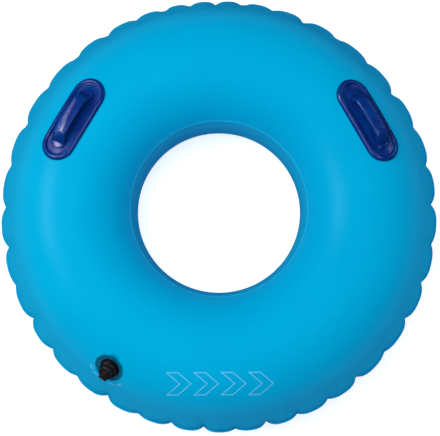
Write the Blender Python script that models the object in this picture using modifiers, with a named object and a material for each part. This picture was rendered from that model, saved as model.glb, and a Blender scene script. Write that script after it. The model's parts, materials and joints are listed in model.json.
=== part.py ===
"""Inflatable river tube, 1.07 m across: welded film skin, two grab handles and a screw valve.

The ring lies flat on its rest band, +Z up, with the origin on the floor at the middle of the
hole. Blown up, the two film panels and the inner band hold one air chamber. The handles are welded
on the upper panel, and so is the valve, whose insert and cap unscrew along a leaning axis.
"""

import math

import bmesh
import bpy
from mathutils import Matrix, Vector

MM = 0.001

# The ring. Widths of the section are measured from the circle that its crown runs along.
LOBE_RADIUS = 535 * MM
CROWN_RADIUS = 360 * MM
HOLE_SIDE_WIDTH = 162 * MM
OUTER_SIDE_WIDTH = 153 * MM
HALF_HEIGHT = 160 * MM
FILM = 0.8 * MM
GAP = 0.3 * MM
REST_BAND_WIDTH = 14 * MM
RING_STEPS = 64

# Stations of the section, in degrees from the crown, positive towards the outside.
UPPER_STATIONS = (-65, -61, -51, -40, -28, -15, -3, 8, 19, 30, 42, 55, 71, 89.9)
LOWER_STATIONS = (89.9, 72, 55, 38, 23, 10)
LOWER_INNER_STATIONS = (-10, -24, -38, -50, -61, -65)
BAND_STATIONS = (-119, -105, -90, -75, -61)

# The weld margin, puckered into lobes that are closer together on two opposite sides.
LOBES = 37
LOBE_SHIFT = 1.9
LOBE_DRIFTS = ((2, 4.6, -86), (3, 1.2, 169), (4, 0.9, 53))
VALLEY_DEPTH = 11 * MM
VALLEY_SPREAD = 3.5 * MM
LOBE_FLATNESS = 3
LOBE_POINTS = (0.0, 0.13, 0.36, 0.64, 0.87)

# The handles: an oblong base with a raised rim, and a grip arched over its pan. Each place is an
# azimuth in degrees and a radius in mm.
HANDLE_PLACES = {"right": (29, 403), "left": (149.4, 397)}
HANDLE_LENGTH = 218 * MM
HANDLE_WIDTH = 83 * MM
# Inset from the outline and height over the skin, in mm, from the underside over the rim to the pan.
BASE_SECTION = (
    (26, 0.5), (13, 0.5), (0, 0.5), (0, 3), (1.5, 6.8), (6, 9.6), (10.5, 8), (13.6, 4.5), (16, 3.2),
    (28, 3.2),
)
# Distance from the middle, height of the centreline, half width and half thickness, in mm.
GRIP_STATIONS = (
    (78, 6.2, 8.0, 1.6),
    (74, 6.7, 15.0, 2.3),
    (65, 7.7, 18.4, 3.1),
    (58, 12.0, 18.0, 6.0),
    (52, 19.0, 17.4, 6.6),
    (43, 25.4, 17.0, 6.6),
    (25, 28.4, 17.0, 6.6),
)
GRIP_TOP = (0, 29.2, 17.0, 6.6)
DOUBLER_MARGIN = 7 * MM
DOUBLER_DEPTH = 2.4 * MM

# The valve, on an axis square to the skin. Its turned profiles are radius and height in mm,
# the height counted from the skin, down the outer side and back up the bore.
VALVE_AZIMUTH = 236
VALVE_RADIUS = 461 * MM
VALVE_OPENING_RADIUS = 35.5 * MM
VALVE_STEPS = 24
# Radius, height, and how far the ring of points follows the curve of the skin, 0 to 1.
CUP_SECTION = (
    (40, -2.5, 1), (36, -2.5, 1), (31.5, -4.1, 0.6), (26.5, -6.3, 0), (20.3, -6.4, 0),
    (20.3, -7.4, 0), (26.8, -7.3, 0), (31.9, -5.1, 0.6), (36.3, -3.3, 1), (40, -3.3, 1),
)
SOCKET_PROFILE = (
    (19, -1), (19, -4.9), (24.5, -4.9), (24.5, -6.1), (19, -6.1), (19, -24), (15.8, -24), (15.8, -1),
)
O_RING_RADIUS = 17.4 * MM
O_RING_THICKNESS = 1.8 * MM
O_RING_HEIGHT = 0.2 * MM
INSERT_PROFILE = (
    (10.2, 15), (10.2, 7), (20.5, 7), (21, 6.4), (21, 2), (20.4, 1.4), (15.3, 1.4), (15.3, -20),
    (1.7, -20), (1.7, -18), (12, -18), (12, 0), (7.6, 2.5), (7.6, 15),
)
PORTS = 4
PORT_RADIUS = 3 * MM
PORT_CIRCLE = 7 * MM
SPIDER_HEIGHT = -19 * MM
DIAPHRAGM_PROFILE = (
    (0, -13.7), (1.8, -13.7), (2.6, -14.6), (2.6, -15.7), (1.35, -15.7), (1.35, -20.4),
    (11.5, -20.4), (11.5, -21.2), (0, -21.2),
)
CAP_PROFILE = (
    (0, 23.3), (5.6, 23.3), (6.4, 22.7), (6.4, 21.8), (5, 21.8), (5, 20), (15.5, 20), (16.5, 19),
    (16.5, 9), (10.7, 9), (10.7, 16.6), (0, 16.6),
)
CAP_WASHER_PROFILE = ((10.2, 16.3), (10.2, 15.3), (6.4, 15.3), (6.4, 16.3))
TETHER_LOW_RING = ((13.8, 8.5), (13.8, 7.3), (10.6, 7.3), (10.6, 8.5))
TETHER_TOP_RING = ((8.6, 21.5), (8.6, 20.3), (5.4, 20.3), (5.4, 21.5))
# The strap's route away from the axis and up, in mm, from the low ring round to the top one.
TETHER_ROUTE = (
    (11.5, 7.9), (18.4, 7.9), (20.8, 9.6), (21.7, 12.6), (21.7, 16.4), (20.3, 19.4), (17.4, 20.9),
    (7.2, 20.9),
)
TETHER_WIDTH = 20 * MM
TETHER_THICKNESS = 1.2 * MM

PARTS_COLLECTION = "river_tube"
CUTTERS_COLLECTION = "cutters"
SHARP_ANGLE = math.radians(35)
MERGE = 0.00001


# Scene, materials and objects


def clear_scene():
    for obj in list(bpy.data.objects):
        bpy.data.objects.remove(obj, do_unlink=True)


def new_collection(name):
    collection = bpy.data.collections.new(name)
    bpy.context.scene.collection.children.link(collection)
    return collection


def new_material(name, colour, roughness):
    material = bpy.data.materials.new(name)
    material.use_nodes = True
    shader = material.node_tree.nodes["Principled BSDF"]
    shader.inputs["Base Color"].default_value = (*colour, 1)
    shader.inputs["Roughness"].default_value = roughness
    shader.inputs["Metallic"].default_value = 0
    return material


def new_part(name, data, material, seat=None):
    part = bpy.data.objects.new(name, data)
    part.data.materials.append(material)
    part.parent = seat
    bpy.data.collections[PARTS_COLLECTION].objects.link(part)
    return part


def new_helper(name, data, seat=None):
    """A cutter, or a shape that a Boolean joins to its part. It is no part itself."""
    helper = bpy.data.objects.new(name, data)
    helper.parent = seat
    helper.hide_render = True
    helper.display_type = "WIRE"
    bpy.data.collections[CUTTERS_COLLECTION].objects.link(helper)
    return helper


def add_boolean(part, operation, other):
    modifier = part.modifiers.new(f"{operation.lower()} {other.name}", "BOOLEAN")
    modifier.operation = operation
    modifier.solver = "EXACT"
    modifier.object = other


def add_screw(part, steps):
    modifier = part.modifiers.new("turn", "SCREW")
    modifier.axis = "Z"
    modifier.steps = steps
    modifier.render_steps = steps
    modifier.use_merge_vertices = True
    modifier.merge_threshold = MERGE


def bake_modifiers(collection):
    """Turns every part into its final mesh, smooth with sharp corners."""
    graph = bpy.context.evaluated_depsgraph_get()
    baked = {}
    for part in collection.objects:
        if part.type == "MESH":
            baked[part] = bpy.data.meshes.new_from_object(part.evaluated_get(graph))
    for part, mesh in baked.items():
        part.modifiers.clear()
        part.data = mesh
        mesh.shade_smooth()
        mesh.set_sharp_from_angle(angle=SHARP_ANGLE)


# Shapes


def profile_mesh(name, points, closed):
    """A line of points in the XZ plane, which a Screw modifier turns about Z."""
    edges = [(i, i + 1) for i in range(len(points) - 1)]
    if closed:
        edges.append((len(points) - 1, 0))
    mesh = bpy.data.meshes.new(name)
    mesh.from_pydata([(radius, 0, height) for radius, height in points], edges, [])
    return mesh


def in_metres(profile):
    return [(radius * MM, height * MM) for radius, height in profile]


def turned_part(name, profile, material, seat):
    """A solid of revolution. A profile that starts on the axis ends on it too."""
    mesh = profile_mesh(name, in_metres(profile), closed=profile[0][0] > 0)
    part = new_part(name, mesh, material, seat)
    add_screw(part, VALVE_STEPS)
    return part


def loft_mesh(name, rings, joined_ends=False, capped=True):
    """One closed surface through rings of equally many points.

    The last ring joins the first, or both ends take a cap, or they have shrunk to a line, which
    the weld closes.
    """
    shape = bmesh.new()
    loops = [[shape.verts.new(point) for point in ring] for ring in rings]
    pairs = list(zip(loops, loops[1:]))
    if joined_ends:
        pairs.append((loops[-1], loops[0]))
    for one, other in pairs:
        for i in range(len(one)):
            shape.faces.new((one[i - 1], one[i], other[i], other[i - 1]))
    if capped and not joined_ends:
        shape.faces.new(reversed(loops[0]))
        shape.faces.new(loops[-1])
    bmesh.ops.remove_doubles(shape, verts=shape.verts, dist=MERGE)
    bmesh.ops.recalc_face_normals(shape, faces=shape.faces)
    mesh = bpy.data.meshes.new(name)
    shape.to_mesh(mesh)
    shape.free()
    return mesh


def circle(radius, height, steps):
    turns = [2 * math.pi * i / steps for i in range(steps)]
    return [Vector((radius * math.cos(a), radius * math.sin(a), height)) for a in turns]


def stadium(inset, height, end_steps=8, side_steps=5):
    """The outline of a handle base, moved inwards. At half its width it is a doubled line."""
    straight = (HANDLE_LENGTH - HANDLE_WIDTH) / 2
    radius = HANDLE_WIDTH / 2 - inset
    points = []
    for side in (1, -1):
        for i in range(end_steps + 1):
            turn = math.pi * (i / end_steps - 0.5)
            x = straight + radius * math.cos(turn)
            points.append(Vector((side * x, side * radius * math.sin(turn), height)))
        for i in range(1, side_steps):
            x = straight * (1 - 2 * i / side_steps)
            points.append(Vector((side * x, side * radius, height)))
    return points


def rounded_section(half_width, half_thickness, corners=3):
    """Points of a rounded bar section, width along X and thickness along Y."""
    corner = half_thickness * 0.8
    points = []
    for sign_x, sign_y, start in ((1, 1, 0), (-1, 1, 90), (-1, -1, 180), (1, -1, 270)):
        for i in range(corners):
            turn = math.radians(start + 90 * i / (corners - 1))
            x = sign_x * (half_width - corner) + corner * math.cos(turn)
            y = sign_y * (half_thickness - corner) + corner * math.sin(turn)
            points.append((x, y))
    return points


def bar_rings(route, sections, across):
    """Rings square to a route in the plane that `across` is square to."""
    rings = []
    for i, centre in enumerate(route):
        along = route[min(i + 1, len(route) - 1)] - route[max(i - 1, 0)]
        up = along.normalized().cross(across)
        rings.append([centre + across * x + up * y for x, y in sections[i]])
    return rings


# The ring's surface


def section_point(station, offset=0.0):
    """Radius and height on the upper half of the section, moved along the normal by the offset."""
    width = OUTER_SIDE_WIDTH if station > 0 else HOLE_SIDE_WIDTH
    turn = math.radians(station)
    normal = Vector((math.sin(turn) / width, math.cos(turn) / HALF_HEIGHT)).normalized()
    radius = CROWN_RADIUS + width * math.sin(turn)
    height = HALF_HEIGHT + HALF_HEIGHT * math.cos(turn)
    return radius + normal.x * offset, height + normal.y * offset


def below_middle(point):
    return point[0], 2 * HALF_HEIGHT - point[1]


def seat_on_ring(name, azimuth, radius):
    """An empty on the skin: X along the ring, Y outwards down the flank, Z off the skin."""
    station = math.asin((radius - CROWN_RADIUS) / OUTER_SIDE_WIDTH)
    out = Vector((math.cos(math.radians(azimuth)), math.sin(math.radians(azimuth)), 0))
    up = Vector((0, 0, 1))
    normal = out * math.sin(station) / OUTER_SIDE_WIDTH + up * math.cos(station) / HALF_HEIGHT
    normal.normalize()
    along = out.cross(up)
    matrix = Matrix((along, normal.cross(along), normal)).transposed().to_4x4()
    matrix.translation = out * radius + up * section_point(math.degrees(station))[1]
    seat = bpy.data.objects.new(name, None)
    seat.matrix_world = matrix
    bpy.data.collections[PARTS_COLLECTION].objects.link(seat)
    return seat


def level_over_skin(point):
    """Zero on the smooth skin, positive outside it."""
    away = math.hypot(point.x, point.y) - CROWN_RADIUS
    width = OUTER_SIDE_WIDTH if away > 0 else HOLE_SIDE_WIDTH
    return math.hypot(away / width, (point.z - HALF_HEIGHT) / HALF_HEIGHT) - 1


def skin_height(seat, x, y):
    """How far off a seat's XY plane the smooth skin lies, found by Newton's method."""
    height = 0.0
    step = 0.01 * MM
    for _ in range(6):
        here = level_over_skin(seat.matrix_world @ Vector((x, y, height)))
        there = level_over_skin(seat.matrix_world @ Vector((x, y, height + step)))
        height -= here * step / (there - here)
    return height


def draped(ring, seat, share=1.0):
    """A ring of points bent down with the skin, wholly or in part."""
    lift = [share * skin_height(seat, point.x, point.y) for point in ring]
    return [Vector((point.x, point.y, point.z + rise)) for point, rise in zip(ring, lift)]


# The skin


def film_panel(name, profile, material):
    mesh = profile_mesh(name, profile, closed=False)
    part = new_part(name, mesh, material)
    add_screw(part, RING_STEPS)
    shell = part.modifiers.new("film", "SOLIDIFY")
    shell.thickness = FILM
    shell.offset = -1
    shell.use_even_offset = True
    return part


def add_upper_skin(material):
    return film_panel("upper_skin", [section_point(s) for s in UPPER_STATIONS], material)


def add_lower_skin(material):
    """The lower panel, flat where the ring stands on it."""
    outer = [below_middle(section_point(s)) for s in LOWER_STATIONS]
    inner = [below_middle(section_point(s)) for s in LOWER_INNER_STATIONS]
    rest = [(CROWN_RADIUS + side * REST_BAND_WIDTH / 2, 0) for side in (1, -1)]
    return film_panel("lower_skin", outer + rest + inner, material)


def add_inner_band(material):
    """The wall of the hole, which laps behind the edge of each panel."""
    points = []
    for station in BAND_STATIONS:
        if station < -90:
            points.append(below_middle(section_point(-180 - station, -FILM - GAP)))
        else:
            points.append(section_point(station, -FILM - GAP))
    return film_panel("inner_band", points, material)


def valley_azimuth(number):
    """Degrees round the ring of one valley between two lobes."""
    azimuth = LOBE_SHIFT + 360 * number / LOBES
    for waves, swing, phase in LOBE_DRIFTS:
        turn = 2 * math.pi * waves * number / LOBES + math.radians(phase)
        azimuth += swing * math.cos(turn)
    return azimuth


def valley_depth(number):
    return VALLEY_DEPTH + VALLEY_SPREAD * math.sin(2.4 * number + 0.6)


def lobed_outline():
    """The trimmed edge of the weld margin: flat-topped lobes between sharp valleys."""
    points = []
    for number in range(LOBES):
        start, end = valley_azimuth(number), valley_azimuth(number + 1)
        for part in LOBE_POINTS:
            depth = valley_depth(number) * (1 - part) + valley_depth(number + 1) * part
            radius = LOBE_RADIUS - depth * abs(2 * part - 1) ** LOBE_FLATNESS
            turn = math.radians(start + (end - start) * part)
            points.append((radius * math.cos(turn), radius * math.sin(turn)))
    return points


def add_outer_weld(material):
    """The fused edges of both panels, a flat ring with a lobed outline."""
    inner_radius = CROWN_RADIUS + OUTER_SIDE_WIDTH + GAP
    inner = [(p.x, p.y) for p in circle(inner_radius, 0, RING_STEPS)]
    curve = bpy.data.curves.new("outer_weld", "CURVE")
    curve.dimensions = "2D"
    curve.fill_mode = "BOTH"
    curve.extrude = FILM
    for outline in (lobed_outline(), inner):
        spline = curve.splines.new("POLY")
        spline.points.add(len(outline) - 1)
        spline.use_cyclic_u = True
        for point, (x, y) in zip(spline.points, outline):
            point.co = (x, y, 0, 1)
    part = new_part("outer_weld", curve, material)
    part.location.z = HALF_HEIGHT


# The handles


def add_handle_base(side, seat, material):
    rings = [draped(stadium(inset * MM, height * MM), seat) for inset, height in BASE_SECTION]
    middle = HANDLE_WIDTH / 2
    rings.insert(0, draped(stadium(middle, BASE_SECTION[0][1] * MM), seat))
    rings.append(draped(stadium(middle, BASE_SECTION[-1][1] * MM), seat))
    mesh = loft_mesh(f"{side}_handle_base", rings, capped=False)
    new_part(f"{side}_handle_base", mesh, material, seat)


def add_handle_grip(side, seat, material):
    """A bar arched from one foot to the other, all of it bent down a little with the skin."""
    half = [(-x, *rest) for x, *rest in GRIP_STATIONS]
    stations = half + [GRIP_TOP] + list(reversed(GRIP_STATIONS))
    route = [Vector((x * MM, 0, height * MM)) for x, height, _, _ in stations]
    sections = [rounded_section(width * MM, depth * MM) for _, _, width, depth in stations]
    rings = bar_rings(route, sections, across=Vector((0, 1, 0)))
    rings = [draped(ring, seat) for ring in rings]
    mesh = loft_mesh(f"{side}_handle_grip", rings)
    new_part(f"{side}_handle_grip", mesh, material, seat)


def add_handle_doubler(side, seat, material):
    """A film patch inside the chamber, under the base and a little wider."""
    insets = (-DOUBLER_MARGIN, 8 * MM, 22 * MM, HANDLE_WIDTH / 2)
    under = [stadium(inset, -DOUBLER_DEPTH - FILM) for inset in reversed(insets)]
    over = [stadium(inset, -DOUBLER_DEPTH) for inset in insets]
    mesh = loft_mesh(f"{side}_handle_doubler", [draped(r, seat) for r in under + over], capped=False)
    new_part(f"{side}_handle_doubler", mesh, material, seat)


# The valve


def add_valve_cup(seat, material):
    """A shallow dish behind the opening in the skin, with a hole for the socket."""
    rings = [
        draped(circle(radius * MM, height * MM, VALVE_STEPS), seat, share)
        for radius, height, share in CUP_SECTION
    ]
    new_part("valve_cup", loft_mesh("valve_cup", rings, joined_ends=True), material, seat)


def cut_skin_for_valve(skin, seat):
    shape = bmesh.new()
    bmesh.ops.create_cone(
        shape, cap_ends=True, segments=VALVE_STEPS, depth=30 * MM,
        radius1=VALVE_OPENING_RADIUS, radius2=VALVE_OPENING_RADIUS,
    )
    mesh = bpy.data.meshes.new("valve_opening")
    shape.to_mesh(mesh)
    shape.free()
    add_boolean(skin, "DIFFERENCE", new_helper("valve_opening", mesh, seat))


def add_o_ring(seat, material):
    bpy.ops.mesh.primitive_torus_add(
        major_segments=VALVE_STEPS, minor_segments=6,
        major_radius=O_RING_RADIUS, minor_radius=O_RING_THICKNESS / 2,
    )
    source = bpy.context.active_object
    part = new_part("socket_o_ring", source.data, material, seat)
    bpy.data.objects.remove(source)
    part.location.z = O_RING_HEIGHT


def add_insert(seat, material):
    """The screw-in half of the valve: flange, nipple, plug and a spider with ports."""
    insert = turned_part("valve_insert", INSERT_PROFILE, material, seat)
    for number in range(PORTS):
        turn = 2 * math.pi * (number + 0.5) / PORTS
        shape = bmesh.new()
        bmesh.ops.create_cone(
            shape, cap_ends=True, segments=10, depth=4 * MM, radius1=PORT_RADIUS, radius2=PORT_RADIUS
        )
        mesh = bpy.data.meshes.new("port")
        shape.to_mesh(mesh)
        shape.free()
        cutter = new_helper(f"port_{number + 1}", mesh, seat)
        cutter.location = (
            PORT_CIRCLE * math.cos(turn), PORT_CIRCLE * math.sin(turn), SPIDER_HEIGHT,
        )
        add_boolean(insert, "DIFFERENCE", cutter)


def add_cap_tether(seat, material):
    """A loose ring round the nipple, a strap past the cap, and a ring round the cap's knob."""
    tether = turned_part("cap_tether", TETHER_LOW_RING, material, seat)
    top_ring = new_helper("tether_top_ring", profile_mesh("ring", in_metres(TETHER_TOP_RING), True), seat)
    add_screw(top_ring, VALVE_STEPS)
    route = [Vector((0, away * MM, height * MM)) for away, height in TETHER_ROUTE]
    section = rounded_section(TETHER_WIDTH / 2, TETHER_THICKNESS / 2, corners=2)
    rings = bar_rings(route, [section] * len(route), across=Vector((1, 0, 0)))
    strap = new_helper("tether_strap", loft_mesh("tether_strap", rings), seat)
    add_boolean(tether, "UNION", strap)
    add_boolean(tether, "UNION", top_ring)


def main():
    clear_scene()
    parts = new_collection(PARTS_COLLECTION)
    new_collection(CUTTERS_COLLECTION)

    sky_film = new_material("sky_blue_film", (0.0, 0.42, 0.74), 0.4)
    inner_film = new_material("inner_band_film", (0.0, 0.36, 0.62), 0.4)
    handle_pvc = new_material("deep_blue_moulding", (0.004, 0.02, 0.26), 0.2)
    cup_pvc = new_material("teal_moulding", (0.0, 0.16, 0.27), 0.3)
    black_pvc = new_material("black_moulding", (0.006, 0.006, 0.008), 0.22)
    black_rubber = new_material("black_rubber", (0.01, 0.01, 0.01), 0.6)
    silicone = new_material("clear_silicone", (0.6, 0.6, 0.58), 0.35)

    upper_skin = add_upper_skin(sky_film)
    add_lower_skin(sky_film)
    add_inner_band(inner_film)
    add_outer_weld(sky_film)

    for side, (azimuth, radius) in HANDLE_PLACES.items():
        seat = seat_on_ring(f"{side}_handle_seat", azimuth, radius * MM)
        add_handle_base(side, seat, handle_pvc)
        add_handle_grip(side, seat, handle_pvc)
        add_handle_doubler(side, seat, sky_film)

    valve_axis = seat_on_ring("valve_axis", VALVE_AZIMUTH, VALVE_RADIUS)
    cut_skin_for_valve(upper_skin, valve_axis)
    add_valve_cup(valve_axis, cup_pvc)
    turned_part("valve_socket", SOCKET_PROFILE, black_pvc, valve_axis)
    add_o_ring(valve_axis, black_rubber)
    add_insert(valve_axis, black_pvc)
    turned_part("valve_diaphragm", DIAPHRAGM_PROFILE, silicone, valve_axis)
    turned_part("valve_cap", CAP_PROFILE, black_pvc, valve_axis)
    turned_part("cap_washer", CAP_WASHER_PROFILE, black_rubber, valve_axis)
    add_cap_tether(valve_axis, black_pvc)

    bpy.context.view_layer.update()
    bake_modifiers(parts)


main()
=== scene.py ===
"""The looks of the inflatable river tube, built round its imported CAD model.

The film panels, the inner band, the handles and the screw valve are made again as fine meshes in
the places that the CAD model gives, with printed marks, procedural vinyl, a floor, soft light and
a camera over the ring. World coordinates are metres, +Z up, with the floor at zero.
"""

import json
import math

import bpy
import numpy as np
from mathutils import Matrix, Vector


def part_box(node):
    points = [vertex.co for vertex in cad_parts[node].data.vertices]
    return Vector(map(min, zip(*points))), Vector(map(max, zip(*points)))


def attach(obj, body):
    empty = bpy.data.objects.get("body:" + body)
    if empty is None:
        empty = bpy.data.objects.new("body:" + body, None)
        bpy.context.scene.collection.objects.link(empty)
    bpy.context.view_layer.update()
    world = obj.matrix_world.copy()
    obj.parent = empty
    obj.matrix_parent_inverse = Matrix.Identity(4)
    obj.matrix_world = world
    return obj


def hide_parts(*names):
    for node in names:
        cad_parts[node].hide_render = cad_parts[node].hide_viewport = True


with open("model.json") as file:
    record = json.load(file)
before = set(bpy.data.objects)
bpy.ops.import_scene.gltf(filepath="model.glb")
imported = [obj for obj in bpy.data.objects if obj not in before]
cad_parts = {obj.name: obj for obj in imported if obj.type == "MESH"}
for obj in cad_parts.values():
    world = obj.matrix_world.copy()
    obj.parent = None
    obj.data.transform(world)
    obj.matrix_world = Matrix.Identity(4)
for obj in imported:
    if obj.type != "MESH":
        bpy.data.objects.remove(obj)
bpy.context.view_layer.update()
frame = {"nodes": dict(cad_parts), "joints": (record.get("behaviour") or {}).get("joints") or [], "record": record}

MM = 0.001
FILM = 0.8 * MM
FILM_GAP = 0.3 * MM

# The ring's section is read by stations: angles from the crown, positive outwards, a quarter turn at
# the weld. The panels end at one station on the hole's side and the band at another, under them.
PANEL_EDGE = math.radians(-65)
BAND_EDGE = math.radians(-61)

# Rows of a panel: how far from the weld in mm, closely near it, and how many more up to its edge.
WELD_DISTANCES = (0, 0.6, 1.3, 2.2, 3.4, 5, 7, 9.5, 12.5, 16, 20, 25, 31, 38, 46, 55, 66, 79, 94)
FAR_ROWS = 22

# The outer weld, with distance across it and half thickness in mm, and how the film is drawn out to
# it and puckered by it: a reach is the distance over which an effect fades.
WELD_WIDTH = 3.6 * MM
WELD_PROFILE = (
    (-1.6, 0.45), (0, 0.7), (0.5, 0.45), (2.0, 0.45), (2.4, 0.75), (3.1, 0.75), (3.6, 0.35),
)
PULL_REACH = 40 * MM
PEEL_REACH = 1.2 * MM
STEP_REACH = 6 * MM
PUCKER_REACH = 27 * MM
PUCKER_BLEND = 42 * MM
PUCKER_POWER = 1.4
COLUMNS_PER_LOBE = 20
VALLEY_ROUNDING = 0.010
LOBE_POWER = 3
CREASE_DEPTH = 1.5 * MM
CREASE_WIDTH = 3.5 * MM
CREASE_START = 6 * MM
CREASE_REACH = 24 * MM
PLEAT_DEPTH = 0.55 * MM
PLEAT_START = 4 * MM
PLEAT_REACH = 24 * MM
WAVE_HEIGHT = 2.4 * MM
WAVE_REACH = 26 * MM

# The welded laps round the hole, and the fine ripple that they leave in the band.
SEAM_WIDTH = 3.0 * MM
SEAM_HEIGHT = 0.8 * MM
BAND_LAP_AZIMUTH = math.radians(315)
RING_COLUMNS = 480
BAND_ROWS = 25
RIPPLES = 61
RIPPLE_DEPTH = 0.35 * MM
RIPPLE_REACH = 14 * MM

# The handles, in mm: the base by inset from its outline and height over the skin, and the grip by
# distance from its middle, height, half width and half thickness.
BASE_UNDERSIDE = ((26, 0.3), (6, 0.3), (0.6, 0.3))
BASE_PROFILE = (
    (0, 0.9), (0, 2.8), (0.5, 4.8), (2.3, 7.6), (6.2, 9.6), (9.6, 9.3), (11.6, 8.0), (12.3, 6.2),
    (12.8, 4.4), (14, 3.3), (16.5, 3.0), (20, 3.0), (27, 3.0), (32, 3.0),
)
GRIP_STATIONS = (
    (79, 5.7, 5.5, 1.5),
    (77, 5.8, 11.0, 2.0),
    (73, 6.2, 15.6, 2.4),
    (65, 7.3, 18.2, 3.2),
    (58, 12.0, 17.8, 6.0),
    (52, 19.0, 17.3, 6.7),
    (43, 25.4, 17.0, 6.8),
    (25, 28.4, 17.0, 6.8),
)
GRIP_TOP = (0, 29.2, 17.0, 6.8)
RIB_PITCH = 5.0
RIB_DEPTH = 1.0
RIBBED_HALF = 55
RIBS_FADE = 4
SQUARENESS = 0.62

# The print: a row of outlined chevrons, and a line of dashes in groups round the valve. The shares
# say how much of its pitch a group takes, and a dash's half width of its own.
PRINT_AZIMUTH = math.radians(270)
PRINT_RADII = (392 * MM, 443 * MM)
CHEVRONS = 4
CHEVRON_WIDTH = 56 * MM
CHEVRON_PITCH = 63 * MM
CHEVRON_THICKNESS = 0.46 * CHEVRON_WIDTH
LINE_WIDTH = 2.3 * MM
INK_HEIGHT = 0.25 * MM
DASH_RADIUS = 48 * MM
DASH_HALF_HEIGHT = 2.8 * MM
DASH_STEP = 1.1 * MM
DASH_TURNS = (math.radians(24), math.radians(158))
DASH_GROUPS = 5
DASHES_PER_GROUP = 4
GROUP_MARGIN = 0.12
GROUP_SHARE = 0.72
DASH_SHARE = 0.34

# The valve's turned shapes, by radius and height over the skin in mm. The cup's third number is how
# much of the skin's curve a point follows. The knurls: how many and how deep, between which
# heights, and outside which radius.
CUP_PROFILE = (
    (40, -2.2, 1), (35.6, -1.3, 1), (35.2, -1.0, 1), (34.6, -1.2, 1), (33.2, -2.5, 0.8),
    (30, -4.7, 0.4), (26.5, -6.0, 0.1), (23, -6.3, 0), (20.3, -6.4, 0), (20.3, -7.3, 0),
    (25, -7.2, 0), (30, -6.1, 0.4), (34.5, -3.5, 1), (40, -3.1, 1),
)
INSERT_PROFILE = (
    (10.2, 15), (10.2, 8.2), (11.2, 7.0), (16.6, 7.0), (17.2, 6.5), (18.0, 6.5), (18.5, 7.0),
    (20.2, 7.0), (21, 6.3), (21, 2.1), (20.4, 1.4), (15.3, 1.4), (15.3, -20), (12, -20), (12, 0),
    (7.6, 2.5), (7.6, 15),
)
INSERT_KNURLS = (32, 0.7, 1.8, 4.9, 20.5)
CAP_PROFILE = (
    (0, 23.3), (5.2, 23.3), (6.4, 22.5), (6.4, 21.9), (5, 21.6), (5, 20.4), (5.6, 19.8),
    (11.5, 19.8), (12.4, 20.1), (14.6, 20.1), (16.5, 18.8), (16.5, 9.8), (15.9, 9.0), (10.9, 9.0),
    (10.9, 16.5), (0, 16.5),
)
CAP_KNURLS = (30, 0.6, 8.2, 14.2, 14.0)
LOW_RING_PROFILE = ((13.8, 8.5), (13.8, 7.3), (10.6, 7.3), (10.6, 8.5))
TOP_RING_PROFILE = ((8.6, 21.5), (8.6, 20.3), (5.4, 20.3), (5.4, 21.5))
TETHER_ROUTE = (
    (11.5, 7.9), (18.4, 7.9), (20.8, 9.6), (21.7, 12.6), (21.7, 16.4), (20.3, 19.4), (17.4, 20.9),
    (7.2, 20.9),
)
TETHER_WIDTH = 20
TETHER_THICKNESS = 1.2
VALVE_OPENING = 35.5 * MM
TURNED_STEPS = 96

# Painted light: a blue glow on the film, standing in for light that comes through it from inside the tube.
PAINTED_THROUGH_GLOW = (0.0, 0.15, 1.0)
PAINTED_THROUGH_STRENGTH = 0.125

# The studio. A gloss box stands for each handle at a distance outwards and upwards from it, in
# metres, with a width, a height and a power.
FLOOR_HALF = 40.0
FLOOR_GLOW = 0.72
SKY_COLOUR = (0.85, 0.95, 1.25)
SKY_STRENGTH = 0.16
GLOSS_BOXES = {"rib_box": (1.78, 1.0, 1.2, 0.07, 2.2), "rim_box": (-1.25, 1.57, 1.0, 0.7, 5.5)}
CAMERA_PLACE = (0, -0.400, 3.083)
CAMERA_LENS = 98.2


# Reading the frame


def node_points(node):
    mesh = frame["nodes"][node].data
    points = np.empty(len(mesh.vertices) * 3, np.float32)
    mesh.vertices.foreach_get("co", points)
    return points.reshape(-1, 3).astype(float)


def read_ring():
    """Crown radius, height of the weld, width of the section on the hole's side and outside."""
    rest = frame["record"]["mounts"][0]["pos_m"]
    crown = math.hypot(rest[0], rest[1])
    low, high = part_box("outer_weld")
    middle = (low.z + high.z) / 2
    band = node_points("inner_band")
    hole = np.hypot(band[:, 0], band[:, 1]).min()
    low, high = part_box("upper_skin")
    outer = (high.x - low.x) / 2
    return crown, middle, crown - hole + FILM + FILM_GAP, outer - crown


CROWN, MIDDLE, HOLE_WIDTH, OUTER_WIDTH = read_ring()
HALF_HEIGHT = MIDDLE
CAMERA_AIM = (0.0025, -0.0154, MIDDLE)


def read_lobes():
    """Azimuth and radius of each valley between two lobes, and the radius of the lobes' tops."""
    points = node_points("outer_weld")
    radius = np.hypot(points[:, 0], points[:, 1])
    turn = np.degrees(np.arctan2(points[:, 1], points[:, 0])) % 360
    least = CROWN + OUTER_WIDTH + 4 * MM
    edge = sorted({(round(t, 2), round(r, 6)) for t, r in zip(turn, radius) if r > least})
    valleys = [
        (math.radians(azimuth), r)
        for i, (azimuth, r) in enumerate(edge)
        if r < edge[i - 1][1] and r < edge[(i + 1) % len(edge)][1]
    ]
    return valleys, radius.max()


VALLEYS, LOBE_RADIUS = read_lobes()


def seat_of(node):
    """A frame on the skin under a node: X along the ring, Y down the outer flank, Z off the skin."""
    centre = np.unique(np.round(node_points(node), 5), axis=0).mean(axis=0)
    out = Vector((centre[0], centre[1], 0))
    reach = out.length
    out.normalize()
    station = 0.0
    for _ in range(20):
        foot_r = CROWN + OUTER_WIDTH * math.sin(station)
        foot_z = MIDDLE + HALF_HEIGHT * math.cos(station)
        along_r, along_z = OUTER_WIDTH * math.cos(station), -HALF_HEIGHT * math.sin(station)
        miss = (reach - foot_r) * along_r + (centre[2] - foot_z) * along_z
        station += miss / (along_r**2 + along_z**2)
    return seat_at(out, station)


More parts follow.
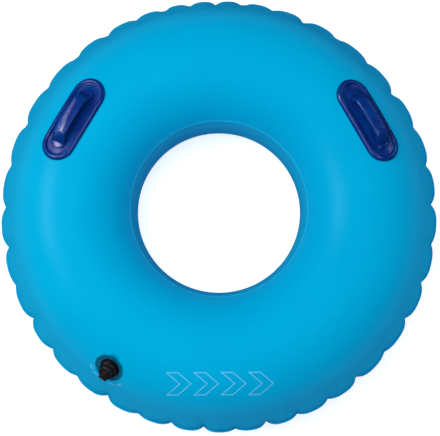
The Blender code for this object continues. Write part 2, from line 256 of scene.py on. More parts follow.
def seat_at(out, station):
    up = Vector((0, 0, 1))
    normal = out * (math.sin(station) / OUTER_WIDTH) + up * (math.cos(station) / HALF_HEIGHT)
    normal.normalize()
    along = out.cross(up)
    matrix = Matrix((along, normal.cross(along), normal)).transposed().to_4x4()
    matrix.translation = out * (CROWN + OUTER_WIDTH * math.sin(station))
    matrix.translation.z = MIDDLE + HALF_HEIGHT * math.cos(station)
    return np.array(matrix)


def valve_seat():
    joint = next(j for j in frame["joints"] if j["name"] == "cap_turn")
    place = Vector(joint["pos_m"])
    out = Vector((place.x, place.y, 0))
    station = math.asin((out.length - CROWN) / OUTER_WIDTH)
    return seat_at(out.normalized(), station)


# The ring's surface


def ring_points(azimuth, station, offset=0.0, lift=0.0):
    """Points on the smooth skin, or off it along its normal and lifted along Z."""
    width = np.where(np.sin(station) > 0, OUTER_WIDTH, HOLE_WIDTH)
    normal_r = np.sin(station) / width
    normal_z = np.cos(station) / HALF_HEIGHT
    length = np.hypot(normal_r, normal_z)
    radius = CROWN + width * np.sin(station) + offset * normal_r / length
    height = MIDDLE + HALF_HEIGHT * np.cos(station) + offset * normal_z / length + lift
    height = height + 0 * azimuth
    return np.stack([radius * np.cos(azimuth), radius * np.sin(azimuth), height], axis=-1)


def to_world(seat, points):
    return points @ seat[:3, :3].T + seat[:3, 3]


def level_over_skin(points):
    away = np.hypot(points[..., 0], points[..., 1]) - CROWN
    width = np.where(away > 0, OUTER_WIDTH, HOLE_WIDTH)
    return np.hypot(away / width, (points[..., 2] - MIDDLE) / HALF_HEIGHT) - 1


def skin_height(seat, x, y):
    """How far off a seat's XY plane the smooth skin lies, found by Newton's method."""
    height = np.zeros_like(x)
    step = 0.01 * MM
    for _ in range(6):
        here = level_over_skin(to_world(seat, np.stack([x, y, height], axis=-1)))
        there = level_over_skin(to_world(seat, np.stack([x, y, height + step], axis=-1)))
        height = height - here * step / (there - here)
    return height


def draped(seat, points, share=1.0):
    """Points of a seat's frame, bent down with the skin, in world coordinates."""
    moved = points.copy()
    moved[..., 2] += share * skin_height(seat, points[..., 0], points[..., 1])
    return to_world(seat, moved)


# Meshes


def smooth_path(points, steps):
    """A Catmull-Rom curve through points of any dimension, `steps` pieces between two of them."""
    points = np.asarray(points, float)
    padded = np.vstack([2 * points[0] - points[1], points, 2 * points[-1] - points[-2]])
    share = np.linspace(0, 1, steps, endpoint=False)[:, None]
    found = []
    for a, b, c, d in zip(padded, padded[1:], padded[2:], padded[3:]):
        found.append(
            0.5 * (2 * b + (c - a) * share + (2 * a - 5 * b + 4 * c - d) * share**2
                   + (3 * b - a - 3 * c + d) * share**3)
        )
    return np.vstack([*found, points[-1:]])


def round_corners(points, radius, steps=3):
    """A closed line with each corner turned into a small curve, no longer than fits its sides."""
    fit = 0.45
    points = [np.asarray(p, float) for p in points]
    found = []
    for i, corner in enumerate(points):
        before, after = points[i - 1], points[(i + 1) % len(points)]
        to_before, to_after = np.linalg.norm(before - corner), np.linalg.norm(after - corner)
        reach = min(radius, to_before * fit, to_after * fit)
        start = corner + (before - corner) * reach / to_before
        end = corner + (after - corner) * reach / to_after
        for k in range(steps + 1):
            t = k / steps
            found.append((1 - t) ** 2 * start + 2 * t * (1 - t) * corner + t**2 * end)
    return np.array(found)


def add_mesh(name, points, faces, material, sharp=40):
    mesh = bpy.data.meshes.new(name)
    mesh.from_pydata(points.reshape(-1, 3).tolist(), [], faces)
    mesh.validate()
    mesh.materials.append(material)
    mesh.shade_smooth()
    mesh.set_sharp_from_angle(angle=math.radians(sharp))
    piece = bpy.data.objects.new(name, mesh)
    bpy.context.scene.collection.objects.link(piece)
    return piece


def grid_faces(rows, columns, wrap_rows, flip=False):
    """Four-sided faces of a grid whose columns close on themselves, and whose rows may too."""
    faces = []
    for row in range(rows if wrap_rows else rows - 1):
        here, there = row * columns, (row + 1) % rows * columns
        for column in range(columns):
            after = (column + 1) % columns
            face = (here + column, here + after, there + after, there + column)
            faces.append(face[::-1] if flip else face)
    return faces


def signed_volume(points, faces):
    points = points.reshape(-1, 3)
    quads = np.array([face for face in faces if len(face) == 4])
    a, b, c, d = (points[quads[:, i]] for i in range(4))
    return float(((np.cross(a, b) * c).sum() + (np.cross(a, c) * d).sum()) / 6)


def add_grid(name, points, material, wrap_rows=True, sharp=40):
    """A closed surface from points, rows by columns. Rows that don't close get flat ends."""
    rows, columns = points.shape[:2]
    faces = grid_faces(rows, columns, wrap_rows)
    if signed_volume(points, faces) < 0:
        faces = grid_faces(rows, columns, wrap_rows, flip=True)
    if not wrap_rows:
        first, last = list(range(columns)), list(range((rows - 1) * columns, rows * columns))
        forward = faces[0][0] == 0 and faces[0][1] == 1
        faces += [first[::-1] if forward else first, last if forward else last[::-1]]
    return add_mesh(name, points, faces, material, sharp)


def film_shell(outer):
    """A closed grid of film: the outer face, then an inner one behind it, with fewer rows."""
    along = np.roll(outer, -1, axis=1) - np.roll(outer, 1, axis=1)
    across = np.gradient(outer, axis=0)
    normal = np.cross(along, across)
    normal /= np.linalg.norm(normal, axis=-1, keepdims=True)
    x, y, reach = outer[..., 0], outer[..., 1], np.hypot(outer[..., 0], outer[..., 1])
    centre = np.stack([CROWN * x, CROWN * y, MIDDLE * reach], axis=-1) / reach[..., None]
    outwards = np.sign(((outer - centre) * normal).sum(axis=-1, keepdims=True))
    inner = outer - normal * outwards * FILM
    picked = sorted({*range(len(WELD_DISTANCES)), *range(0, len(outer), 3), len(outer) - 1})
    return np.concatenate([outer, inner[picked[::-1]]])


def turned(profile, seat, rounding=0.35, knurls=None):
    """A grid turned about a seat's Z from radius and height in mm, knurled if asked."""
    line = round_corners(profile, rounding)
    turn = np.linspace(0, 2 * math.pi, TURNED_STEPS, endpoint=False)
    radius = np.repeat(line[:, :1], TURNED_STEPS, axis=1)
    height = np.repeat(line[:, 1:2], TURNED_STEPS, axis=1)
    if knurls:
        count, depth, low, high, least = knurls
        here = (height >= low) & (height <= high) & (radius > least)
        radius = radius - here * depth * (0.5 - 0.5 * np.cos(count * turn)) ** 0.7
    points = np.stack([radius * np.cos(turn), radius * np.sin(turn), height], axis=-1) * MM
    return to_world(seat, points)


def finished(piece, body, slot, *nodes):
    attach(piece, body)
    if nodes:
        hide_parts(*nodes)
    return piece


def cut(piece, seat, radius, depth):
    """Cuts a round opening square to a seat."""
    turn = np.linspace(0, 2 * math.pi, TURNED_STEPS, endpoint=False)
    x, y = radius * np.cos(turn), radius * np.sin(turn)
    heights = (-depth, depth)
    ends = np.stack([np.column_stack([x, y, np.full(TURNED_STEPS, height)]) for height in heights])
    cutter = add_grid("cutter", to_world(seat, ends), piece.data.materials[0], wrap_rows=False)
    combine(piece, "DIFFERENCE", [cutter])


def combine(piece, operation, others):
    """Cuts the others from a piece or joins them to it, for good, and removes them."""
    for other in others:
        modifier = piece.modifiers.new("combine", "BOOLEAN")
        modifier.operation = operation
        modifier.solver = "EXACT"
        modifier.object = other
    graph = bpy.context.evaluated_depsgraph_get()
    mesh = bpy.data.meshes.new_from_object(piece.evaluated_get(graph))
    piece.modifiers.clear()
    piece.data = mesh
    for other in others:
        bpy.data.objects.remove(other)


# Materials


class Recipe:
    """A Principled material whose colour, roughness and bump come from noise in object space."""

    def __init__(self, name, roughness, specular=0.5, tint=(1, 1, 1)):
        self.material = bpy.data.materials.new(name)
        self.material.use_nodes = True
        self.tree = self.material.node_tree
        self.shader = self.tree.nodes["Principled BSDF"]
        self.shader.inputs["Roughness"].default_value = roughness
        self.shader.inputs["Specular IOR Level"].default_value = specular
        self.shader.inputs["Specular Tint"].default_value = (*tint, 1)
        self.place = self.tree.nodes.new("ShaderNodeTexCoord").outputs["Object"]

    def noise(self, scale, detail=3.0, stretch=(1, 1, 1)):
        mapping = self.tree.nodes.new("ShaderNodeMapping")
        mapping.inputs["Scale"].default_value = stretch
        self.tree.links.new(self.place, mapping.inputs["Vector"])
        noise = self.tree.nodes.new("ShaderNodeTexNoise")
        noise.inputs["Scale"].default_value = scale
        noise.inputs["Detail"].default_value = detail
        self.tree.links.new(mapping.outputs["Vector"], noise.inputs["Vector"])
        return noise.outputs["Fac"]

    def ranged(self, value, low, high):
        """The value's middle half spread between low and high."""
        node = self.tree.nodes.new("ShaderNodeMapRange")
        node.inputs["From Min"].default_value = 0.3
        node.inputs["From Max"].default_value = 0.7
        node.inputs["To Min"].default_value = low
        node.inputs["To Max"].default_value = high
        self.tree.links.new(value, node.inputs["Value"])
        return node.outputs["Result"]

    def colour(self, value, one, other):
        node = self.tree.nodes.new("ShaderNodeMix")
        node.data_type = "RGBA"
        node.inputs["A"].default_value = (*one, 1)
        node.inputs["B"].default_value = (*other, 1)
        self.tree.links.new(self.ranged(value, 0, 1), node.inputs["Factor"])
        self.tree.links.new(node.outputs["Result"], self.shader.inputs["Base Color"])

    def glow(self, colour, strength):
        self.shader.inputs["Emission Color"].default_value = (*colour, 1)
        self.shader.inputs["Emission Strength"].default_value = strength

    def roughness(self, value, low, high):
        self.tree.links.new(self.ranged(value, low, high), self.shader.inputs["Roughness"])

    def bump(self, value, height, strength=1.0):
        node = self.tree.nodes.new("ShaderNodeBump")
        node.inputs["Strength"].default_value = strength
        node.inputs["Distance"].default_value = height
        before = self.shader.inputs["Normal"].links
        if before:
            self.tree.links.new(before[0].from_socket, node.inputs["Normal"])
        self.tree.links.new(value, node.inputs["Height"])
        self.tree.links.new(node.outputs["Normal"], self.shader.inputs["Normal"])


def vinyl_film(name, colour, darker, roughness=0.3):
    """Calendered film: a faint mottle, a satin gloss, a fine orange peel, broad faint dents and a painted blue
    glow.
    """
    recipe = Recipe(name, roughness, specular=0.045, tint=(0.5, 0.9, 1.0))
    recipe.colour(recipe.noise(6, 4), colour, darker)
    # Painted light: a faint blue emission standing in for light that comes through the film.
    recipe.glow(PAINTED_THROUGH_GLOW, PAINTED_THROUGH_STRENGTH)
    recipe.bump(recipe.noise(260, 2), 0.0002, 0.35)
    recipe.bump(recipe.noise(11, 2), 0.0022, 0.5)
    return recipe.material


def weld_film(name, colour, darker):
    """Film pressed by a weld bar: the same vinyl with a fine grain."""
    recipe = Recipe(name, 0.38, specular=0.045, tint=(0.5, 0.9, 1.0))
    recipe.colour(recipe.noise(40, 3), colour, darker)
    # Painted light: the same faint blue emission as on the vinyl film.
    recipe.glow(PAINTED_THROUGH_GLOW, PAINTED_THROUGH_STRENGTH)
    recipe.roughness(recipe.noise(60, 2), 0.3, 0.46)
    recipe.bump(recipe.noise(900, 1), 0.0003, 0.5)
    return recipe.material


def handle_moulding():
    """Deep blue soft moulding with a wet gloss and faint flow marks."""
    recipe = Recipe("deep_blue_moulding", 0.2, specular=0.5, tint=(0.8, 0.75, 1.0))
    recipe.colour(recipe.noise(30, 4, (1, 1, 2)), (0.0, 0.021, 0.115), (0.001, 0.008, 0.085))
    recipe.roughness(recipe.noise(45, 3), 0.16, 0.26)
    recipe.bump(recipe.noise(70, 2), 0.0003, 0.2)
    return recipe.material


def cup_moulding():
    recipe = Recipe("teal_moulding", 0.35, specular=0.2, tint=(0.8, 0.95, 1.0))
    # Dark teal: partly the patch's own tint, and partly painted shade of the recessed dish.
    recipe.colour(recipe.noise(40, 3), (0.0, 0.11, 0.2), (0.0, 0.085, 0.16))
    recipe.roughness(recipe.noise(80, 2), 0.28, 0.42)
    recipe.bump(recipe.noise(500, 2), 0.0002, 0.4)
    return recipe.material


def black_moulding():
    recipe = Recipe("black_moulding", 0.2, specular=0.3)
    recipe.colour(recipe.noise(90, 3), (0.004, 0.004, 0.005), (0.009, 0.008, 0.01))
    recipe.roughness(recipe.noise(120, 3), 0.15, 0.3)
    recipe.bump(recipe.noise(600, 2), 0.0002, 0.35)
    return recipe.material


def black_rubber():
    recipe = Recipe("black_rubber", 0.6, specular=0.3)
    recipe.colour(recipe.noise(150, 3), (0.01, 0.01, 0.01), (0.022, 0.021, 0.02))
    recipe.roughness(recipe.noise(200, 2), 0.5, 0.7)
    return recipe.material


def clear_silicone():
    recipe = Recipe("clear_silicone", 0.35, specular=0.5)
    recipe.colour(recipe.noise(120, 3), (0.6, 0.6, 0.58), (0.5, 0.51, 0.5))
    recipe.roughness(recipe.noise(160, 2), 0.3, 0.42)
    return recipe.material


def screen_ink():
    recipe = Recipe("light_blue_ink", 0.5, specular=0.3)
    recipe.colour(recipe.noise(220, 3), (0.1, 0.44, 0.68), (0.08, 0.38, 0.62))
    recipe.roughness(recipe.noise(300, 2), 0.42, 0.58)
    return recipe.material


def pale_floor():
    recipe = Recipe("pale_floor", 0.8, specular=0.0)
    recipe.colour(recipe.noise(2, 3), (0.5, 0.5, 0.5), (0.48, 0.48, 0.48))
    recipe.glow((1, 1, 1), FLOOR_GLOW)
    return recipe.material


# The film


def uneven(number, rate, start):
    """A number from -1 to 1 for each valley, with no rhythm to be seen."""
    return math.sin(rate * (number % len(VALLEYS)) + start)


def lobe_columns():
    """What shapes each column of points round the ring, from the valleys on both sides of it.

    sharp and soft are 1 in a valley and 0 on a lobe. depth is how far the valleys lie in, crease
    marks the fold at a valley, pleats the small waves between two, wave how far the weld runs
    off level, and reach how far the puckers run in.
    """
    share = 0.5 - 0.5 * np.cos(np.linspace(0, math.pi, COLUMNS_PER_LOBE, endpoint=False))
    keys = ("azimuth", "sharp", "soft", "depth", "crease", "pleats", "wave", "reach")
    columns = {key: [] for key in keys}
    for i, (start, radius) in enumerate(VALLEYS):
        end, next_radius = VALLEYS[(i + 1) % len(VALLEYS)]
        span = (end - start) % (2 * math.pi)
        near = np.minimum(share, 1 - share)
        near = np.hypot(near, VALLEY_ROUNDING) - VALLEY_ROUNDING
        width = span * LOBE_RADIUS
        off_level = uneven(i, 1.7, 0.4) * (1 - share) ** 3 + uneven(i + 1, 1.7, 0.4) * share**3
        this_reach, next_reach = uneven(i, 2.1, 1.1), uneven(i + 1, 2.1, 1.1)
        columns["azimuth"].append(start + span * share)
        columns["sharp"].append((1 - 2 * near) ** LOBE_POWER)
        columns["soft"].append(0.5 + 0.5 * np.cos(2 * math.pi * share))
        columns["depth"].append(LOBE_RADIUS - radius + (radius - next_radius) * share)
        columns["crease"].append(np.exp(-((near * width / CREASE_WIDTH) ** 2)))
        waves = 3 + i % 3
        fade = np.sin(math.pi * share) ** 2
        columns["pleats"].append(fade * np.cos(2 * math.pi * waves * share + 1.3 * i))
        columns["wave"].append(off_level)
        columns["reach"].append(1 + 0.3 * this_reach * (1 - share) ** 2 + 0.3 * next_reach * share**2)
    return {key: np.concatenate(value) for key, value in columns.items()}


LOBES = lobe_columns()


def panel_points(side):
    """One panel's outer face, from the weld to the band's seam. Side is 1 above and -1 below."""
    near = np.array(WELD_DISTANCES) * MM
    far = np.linspace(near[-1], (math.pi / 2 - PANEL_EDGE) * HALF_HEIGHT, FAR_ROWS + 1)[1:]
    distance = np.concatenate([near, far])[:, None]
    station = math.pi / 2 - side * distance / HALF_HEIGHT
    blend = np.clip(distance / PUCKER_BLEND, 0, 1)
    blend = blend * blend * (3 - 2 * blend)
    profile = LOBES["sharp"] * (1 - blend) + LOBES["soft"] * blend
    pull = (LOBE_RADIUS - WELD_WIDTH - CROWN - OUTER_WIDTH) * np.exp(-((distance / PULL_REACH) ** 2))
    pucker = profile * np.exp(-((distance / (PUCKER_REACH * LOBES["reach"])) ** PUCKER_POWER))
    crease = 1 - np.exp(-distance / CREASE_START)
    crease = LOBES["crease"] * crease * np.exp(-distance / (CREASE_REACH * LOBES["reach"]))
    pleats = 1 - np.exp(-distance / PLEAT_START)
    pleats = LOBES["pleats"] * pleats * np.exp(-distance / PLEAT_REACH)
    edge = np.exp(-distance / PEEL_REACH)
    offset = pull - LOBES["depth"] * pucker - CREASE_DEPTH * crease + PLEAT_DEPTH * pleats
    offset = offset + PEEL_REACH * (edge - np.exp(-distance / (8 * PEEL_REACH)))
    peel = PEEL_REACH * (1 - edge) * np.exp(-distance / (10 * PEEL_REACH))
    lift = side * (FILM * np.exp(-distance / STEP_REACH) - peel)
    lift = lift + WAVE_HEIGHT * LOBES["wave"] * np.exp(-distance / WAVE_REACH)
    return ring_points(LOBES["azimuth"], station, offset, lift)


def add_panel(name, side, material):
    return add_grid(name, film_shell(panel_points(side)), material, sharp=50)


def add_weld(material):
    """The fused edge of both panels: a flat strip with a pressed groove and a rounded trim."""
    top = [(x * MM, t * MM) for x, t in WELD_PROFILE]
    bottom = [(x, -t) for x, t in reversed(top)]
    section = round_corners(top + bottom, 0.3 * MM, steps=2)
    outline = LOBE_RADIUS - LOBES["depth"] * LOBES["sharp"]
    radius = outline + section[:, :1] - WELD_WIDTH
    height = MIDDLE + section[:, 1:] + WAVE_HEIGHT * LOBES["wave"]
    azimuth = LOBES["azimuth"] + 0 * radius
    points = np.stack([radius * np.cos(azimuth), radius * np.sin(azimuth), height], axis=-1)
    return add_grid("outer_weld_edge", points, material, sharp=60)


def add_band(material):
    azimuth = np.linspace(0, 2 * math.pi, RING_COLUMNS, endpoint=False)
    station = np.linspace(BAND_EDGE, -math.pi - BAND_EDGE, BAND_ROWS)[:, None]
    from_seam = np.minimum(PANEL_EDGE - station, station + math.pi + PANEL_EDGE) * HALF_HEIGHT
    ripple = RIPPLE_DEPTH * np.cos(RIPPLES * azimuth + np.sin(5 * azimuth))
    ripple = ripple * np.exp(-np.abs(from_seam) / RIPPLE_REACH)
    offset = -FILM - FILM_GAP + np.where(from_seam > 0, ripple, -0.1 * MM)
    points = film_shell(ring_points(azimuth, station, offset))
    return add_grid("hole_band", points, material, sharp=50)


def add_seam(name, station, material):
    """The welded lap between a panel's edge and the band: a low rounded ridge."""
    azimuth = np.linspace(0, 2 * math.pi, RING_COLUMNS, endpoint=False)
    half = SEAM_WIDTH / 2 / HALF_HEIGHT
    turn = np.linspace(0, math.pi, 9)[:, None]
    rise = -0.4 * MM + SEAM_HEIGHT * np.sin(turn) ** 0.8
    over = ring_points(azimuth, station + half * np.cos(turn), rise)
    under = ring_points(azimuth, station + half * np.array([[-0.9], [0.9]]), -0.9 * MM)
    return add_grid(name, np.concatenate([over, under]), material, sharp=60)


def add_band_lap(material):
    """The upright lap that closes the band's strip into a ring."""
    station = np.linspace(PANEL_EDGE - 0.02, -math.pi - PANEL_EDGE + 0.02, 33)[:, None]
    across = np.array([-3.0, -2.6, -2.0, 0, 2.0, 2.6, 3.0, 2.6, 0, -2.6]) * MM
    rise = np.array([-1.2, -0.75, -0.55, -0.5, -0.55, -0.75, -1.2, -1.5, -1.5, -1.5]) * MM
    azimuth = BAND_LAP_AZIMUTH + across / (CROWN - HOLE_WIDTH)
    points = ring_points(azimuth, station, rise + 0 * station)
    return add_grid("band_lap", points, material, wrap_rows=False)


# The print


def outline_strip(name, corners, material):
    """A closed line of ink on the skin round a polygon of flat points."""
    corners = np.array(corners, float)
    before = corners - np.roll(corners, 1, axis=0)
    after = np.roll(corners, -1, axis=0) - corners
    before /= np.linalg.norm(before, axis=1, keepdims=True)
    after /= np.linalg.norm(after, axis=1, keepdims=True)
    square = np.stack([before[:, 1] + after[:, 1], -before[:, 0] - after[:, 0]], axis=1)
    mitre = square / (1 + (before * after).sum(axis=1, keepdims=True))
    share = np.linspace(0, 1, 14, endpoint=False)[:, None]
    loops = []
    for side, height in ((1, 1), (-1, 1), (-1, -1), (1, -1)):
        edge = corners + mitre * side * LINE_WIDTH / 2
        nexts = np.roll(edge, -1, axis=0)
        loop = np.concatenate([a * (1 - share) + b * share for a, b in zip(edge, nexts)])
        loops.append(on_ring_from_above(loop, INK_HEIGHT * (0.6 + 0.4 * height)))
    return add_grid(name, np.stack(loops), material, sharp=30)


def on_ring_from_above(points, height):
    """Flat points, X along the ring and Y its radius at the print, dropped on the skin."""
    turn = np.array([math.cos(PRINT_AZIMUTH), math.sin(PRINT_AZIMUTH)])
    along = np.array([-turn[1], turn[0]])
    flat = points[:, :1] * along + points[:, 1:] * turn
    radius = np.hypot(flat[:, 0], flat[:, 1])
    station = np.arcsin((radius - CROWN) / OUTER_WIDTH)
    return ring_points(np.arctan2(flat[:, 1], flat[:, 0]), station, height)


def add_chevrons(material):
    """A row of outlined chevrons, each a band folded in the middle."""
    low, high = PRINT_RADII
    middle = (low + high) / 2
    thick, tip = CHEVRON_THICKNESS, CHEVRON_WIDTH
    pieces = []
    for number in range(CHEVRONS):
        start = (number - (CHEVRONS - 1) / 2) * CHEVRON_PITCH - CHEVRON_WIDTH / 2
        corners = [
            (start, low), (start + thick, low), (start + tip, middle),
            (start + thick, high), (start, high), (start + tip - thick, middle),
        ]
        pieces.append(outline_strip(f"chevron_{number + 1}", corners, material))
    return pieces


def add_valve_dashes(seat, material):
    """Groups of short dashes on the skin, round the outer side of the valve."""
    pieces = []
    starts = np.linspace(*DASH_TURNS, DASH_GROUPS, endpoint=False)
    pitch = starts[1] - starts[0]
    half = pitch * GROUP_SHARE / DASHES_PER_GROUP * DASH_SHARE
    inner = DASH_RADIUS - DASH_HALF_HEIGHT
    for group, start in enumerate(starts):
        for number in range(DASHES_PER_GROUP):
            along = GROUP_MARGIN + GROUP_SHARE * (number + 0.5) / DASHES_PER_GROUP
            one, other = start + pitch * along - half, start + pitch * along + half
            outer = DASH_RADIUS + DASH_HALF_HEIGHT - DASH_STEP * ((group + number) % 2)
            polar = [(one, inner), (other, inner), (other, outer), (one, outer)]
            flat = np.array([(r * math.cos(a), r * math.sin(a)) for a, r in polar])
            loops = []
            for height in (0.0, INK_HEIGHT):
                loops.append(draped(seat, np.column_stack([flat, np.full(4, height)])))
            name = f"valve_dash_{group * DASHES_PER_GROUP + number + 1:02d}"
            pieces.append(add_grid(name, np.stack(loops), material, wrap_rows=False, sharp=30))
    return pieces


# The handles


def handle_size(node, seat):
    local = (node_points(node) - seat[:3, 3]) @ seat[:3, :3]
    spread = local.max(axis=0) - local.min(axis=0)
    return spread[0], spread[1]


def stadium(length, width, inset, end_steps=30, side_steps=26):
    """The outline of a handle base, moved inwards. At half its width it is a doubled line."""
    straight = (length - width) / 2
    radius = max(width / 2 - inset, 0)
    turn = np.linspace(-math.pi / 2, math.pi / 2, end_steps + 1)
    side = np.linspace(1, -1, side_steps + 1)[1:-1]
    half = np.concatenate([
        np.stack([straight + radius * np.cos(turn), radius * np.sin(turn)], axis=1),
        np.stack([straight * side, radius + 0 * side], axis=1),
    ])
    return np.concatenate([half, -half])


def add_handle_base(side, seat, material):
    node = f"{side}_handle_base"
    length, width = handle_size(node, seat)
    middle = width / MM / 2 - 0.01
    start, end = (middle, BASE_UNDERSIDE[0][1]), (middle, BASE_PROFILE[-1][1])
    line = np.vstack([[start], BASE_UNDERSIDE, smooth_path(BASE_PROFILE, 3), [end]])
    rings = []
    for inset, height in line:
        flat = stadium(length, width, inset * MM)
        rings.append(draped(seat, np.column_stack([flat, np.full(len(flat), height * MM)])))
    piece = add_grid(f"{side}_handle_moulding", np.stack(rings), material, sharp=50)
    return finished(piece, "tube", "handle", node)


def rib(distance):
    """0 on a rib and 1 in the groove between two."""
    phase = np.abs((distance / RIB_PITCH) % 1 - 0.5) * 2
    share = np.clip((phase - 0.45) / 0.3, 0, 1)
    return share**2 * (3 - 2 * share)


def bar_section(half_width, half_thickness, count=56):
    """Points of a rounded bar, a squarish oval."""
    turn = np.linspace(0, 2 * math.pi, count, endpoint=False)
    x = np.sign(np.cos(turn)) * np.abs(np.cos(turn)) ** SQUARENESS * half_width
    y = np.sign(np.sin(turn)) * np.abs(np.sin(turn)) ** SQUARENESS * half_thickness
    return np.stack([x, y], axis=1)


def add_handle_grip(side, seat, material):
    """A ribbed bar arched from one foot to the other, bent down a little with the skin."""
    half = [(-x, *rest) for x, *rest in GRIP_STATIONS]
    stations = smooth_path(half + [GRIP_TOP] + list(reversed(GRIP_STATIONS)), 26)
    route = np.column_stack([stations[:, 0], 0 * stations[:, 0], stations[:, 1]])
    along = np.gradient(route, axis=0)
    along /= np.linalg.norm(along, axis=1, keepdims=True)
    across = np.array([0.0, 1.0, 0.0])
    rings = []
    for centre, forward, (x, _, half_width, half_thickness) in zip(route, along, stations):
        groove = RIB_DEPTH * rib(x) * np.clip((RIBBED_HALF - abs(x)) / RIBS_FADE, 0, 1)
        up = np.cross(forward, across)
        section = bar_section(half_width, half_thickness)
        outer_side = np.clip(0.5 + section[:, :1] / (0.5 * half_width), 0, 1)
        size = np.linalg.norm(section, axis=1, keepdims=True)
        section = section * (1 - groove * outer_side / size)
        rings.append((centre + section[:, :1] * across + section[:, 1:] * up) * MM)
    points = draped(seat, np.stack(rings))
    piece = add_grid(f"{side}_handle_ribbed_grip", points, material, wrap_rows=False, sharp=50)
    return finished(piece, "tube", "handle", f"{side}_handle_grip")


# The valve


def add_cup(seat, material):
    line = round_corners(CUP_PROFILE, 0.5)
    turn = np.linspace(0, 2 * math.pi, TURNED_STEPS, endpoint=False)
    rings = []
    for radius, height, share in line:
        x, y, z = radius * np.cos(turn), radius * np.sin(turn), np.full(len(turn), height)
        rings.append(draped(seat, np.column_stack([x, y, z]) * MM, share))
    piece = add_grid("valve_dish", np.stack(rings), material)
    return finished(piece, "tube", "cup", "valve_cup")


def add_insert(seat, material):
    points = turned(INSERT_PROFILE, seat, knurls=INSERT_KNURLS)
    piece = add_grid("valve_insert_body", points, material)
    return finished(piece, "insert", "black_pvc", "valve_insert")


def add_cap(seat, material):
    points = turned(CAP_PROFILE, seat, knurls=CAP_KNURLS)
    piece = add_grid("valve_cap_ribbed", points, material)
    return finished(piece, "cap", "black_pvc", "valve_cap")


def add_tether(seat, material):
    piece = add_grid("cap_strap", turned(LOW_RING_PROFILE, seat, rounding=0.3), material)
    top = add_grid("top_ring", turned(TOP_RING_PROFILE, seat, rounding=0.3), material)
    route = smooth_path([(0, y, z) for y, z in TETHER_ROUTE], 8)
    along = np.gradient(route, axis=0)
    along /= np.linalg.norm(along, axis=1, keepdims=True)
    across = np.array([1.0, 0.0, 0.0])
    wide, thick = TETHER_WIDTH / 2, TETHER_THICKNESS / 2
    corners = [(-wide, -thick), (wide, -thick), (wide, thick), (-wide, thick)]
    section = round_corners(corners, 0.4)
    rings = [
        centre + section[:, :1] * across + section[:, 1:] * np.cross(forward, across)
        for centre, forward in zip(route, along)
    ]
    strap = add_grid("strap", to_world(seat, np.stack(rings) * MM), material, wrap_rows=False)
    combine(piece, "UNION", [strap, top])
    return finished(piece, "tether", "black_pvc", "cap_tether")


# The studio


def area_light(name, place, aim, width, height, power, diffuse=True, glossy=True, only=None):
    """A soft box aimed at a point. It lights, or shows in gloss, or both, on all or only some."""
    data = bpy.data.lights.new(name, "AREA")
    data.shape = "RECTANGLE"
    data.size = width
    data.size_y = height
    data.energy = power
    light = bpy.data.objects.new(name, data)
    light.visible_camera = False
    light.visible_diffuse = diffuse
    light.visible_glossy = glossy
    light.light_linking.receiver_collection = only
    light.location = place
    light.rotation_euler = (Vector(aim) - Vector(place)).to_track_quat("-Z", "Y").to_euler()
    bpy.context.scene.collection.objects.link(light)


def add_studio():
    scene = bpy.context.scene
    scene.view_settings.view_transform = "Standard"
    world = bpy.data.worlds.new("studio")
    world.use_nodes = True
    background = world.node_tree.nodes["Background"]
    background.inputs["Color"].default_value = (*SKY_COLOUR, 1)
    background.inputs["Strength"].default_value = SKY_STRENGTH
    world.cycles_visibility.glossy = False
    scene.world = world

    corners = np.array([(-1, -1, 0), (1, -1, 0), (1, 1, 0), (-1, 1, 0)]) * FLOOR_HALF
    floor = add_mesh("floor", corners, [(0, 1, 2, 3)], pale_floor())
    floor.visible_glossy = False

    ring = (0, 0, MIDDLE)
    area_light("key", (-1.8, 0.1, 2.6), ring, 1.4, 1.4, 58, glossy=False)
    area_light("overhead", (-0.1, 0.0, 3.6), ring, 1.8, 1.8, 87, glossy=False)
    area_light("right_fill", (2.6, 0.2, 0.9), ring, 1.2, 1.2, 9, glossy=False)
    area_light("left_box", (-2.0, 0.34, 2.1), (-0.4, 0, 0.3), 1.1, 0.9, 43, diffuse=False)


def add_gloss_boxes(pieces, seats):
    """Soft boxes that only the mouldings show: one over each handle's ribs and one over its rim."""
    shiny = bpy.data.collections.new("shiny_mouldings")
    for piece in pieces:
        shiny.objects.link(piece)
    for side, seat in seats.items():
        handle = Vector(seat[:3, 3])
        out = Vector((handle.x, handle.y, 0)).normalized()
        for name, (outwards, upwards, width, height, power) in GLOSS_BOXES.items():
            place = handle + outwards * out + Vector((0, 0, upwards))
            area_light(f"{side}_{name}", place, handle, width, height, power, only=shiny)


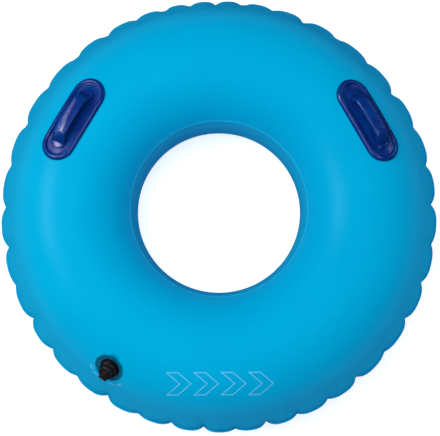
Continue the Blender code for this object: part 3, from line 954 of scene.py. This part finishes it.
def add_camera():
    data = bpy.data.cameras.new("camera")
    data.lens = CAMERA_LENS
    data.sensor_width = 36
    camera = bpy.data.objects.new("camera", data)
    camera.location = CAMERA_PLACE
    towards = Vector(CAMERA_AIM) - Vector(CAMERA_PLACE)
    camera.rotation_euler = towards.to_track_quat("-Z", "Y").to_euler()
    bpy.context.scene.collection.objects.link(camera)
    bpy.context.scene.camera = camera


def show_cad_nodes(nodes, material):
    for node in nodes:
        piece = frame["nodes"][node]
        piece.data.materials.clear()
        piece.data.materials.append(material)


def main():
    sky_blue, sky_darker = (0.0, 0.285, 0.425), (0.0, 0.27, 0.405)
    film = vinyl_film("sky_blue_film", sky_blue, sky_darker)
    band_film = vinyl_film("band_film", (0.0, 0.26, 0.38), (0.0, 0.245, 0.36), 0.36)
    weld = weld_film("welded_film", (0.0, 0.25, 0.38), (0.0, 0.23, 0.35))
    # The seam film is lighter than the panels: a painted highlight along the raised laps.
    seam = weld_film("seam_film_painted_highlight", (0.01, 0.4, 0.58), (0.01, 0.37, 0.54))
    handle = handle_moulding()
    black = black_moulding()
    ink = screen_ink()
    valve = valve_seat()

    upper = add_panel("upper_film", 1, film)
    cut(upper, valve, VALVE_OPENING, 20 * MM)
    finished(upper, "tube", "film", "upper_skin")
    finished(add_panel("lower_film", -1, film), "tube", "film", "lower_skin")
    finished(add_weld(weld), "tube", "film", "outer_weld")
    finished(add_band(band_film), "tube", "band_film", "inner_band")
    finished(add_seam("upper_seam", PANEL_EDGE, seam), "tube", "film")
    finished(add_seam("lower_seam", -math.pi - PANEL_EDGE, seam), "tube", "film")
    finished(add_band_lap(band_film), "tube", "band_film")

    seats = {side: seat_of(f"{side}_handle_base") for side in ("right", "left")}
    shiny = []
    for side, seat in seats.items():
        shiny += [add_handle_base(side, seat, handle), add_handle_grip(side, seat, handle)]
    for piece in add_chevrons(ink) + add_valve_dashes(valve, ink):
        finished(piece, "tube", "film")

    add_cup(valve, cup_moulding())
    shiny += [add_insert(valve, black), add_cap(valve, black), add_tether(valve, black)]
    show_cad_nodes(("valve_socket",), black)
    show_cad_nodes(("socket_o_ring", "cap_washer"), black_rubber())
    show_cad_nodes(("valve_diaphragm",), clear_silicone())
    show_cad_nodes(("left_handle_doubler", "right_handle_doubler"), film)

    add_studio()
    add_gloss_boxes(shiny, seats)
    add_camera()


main()
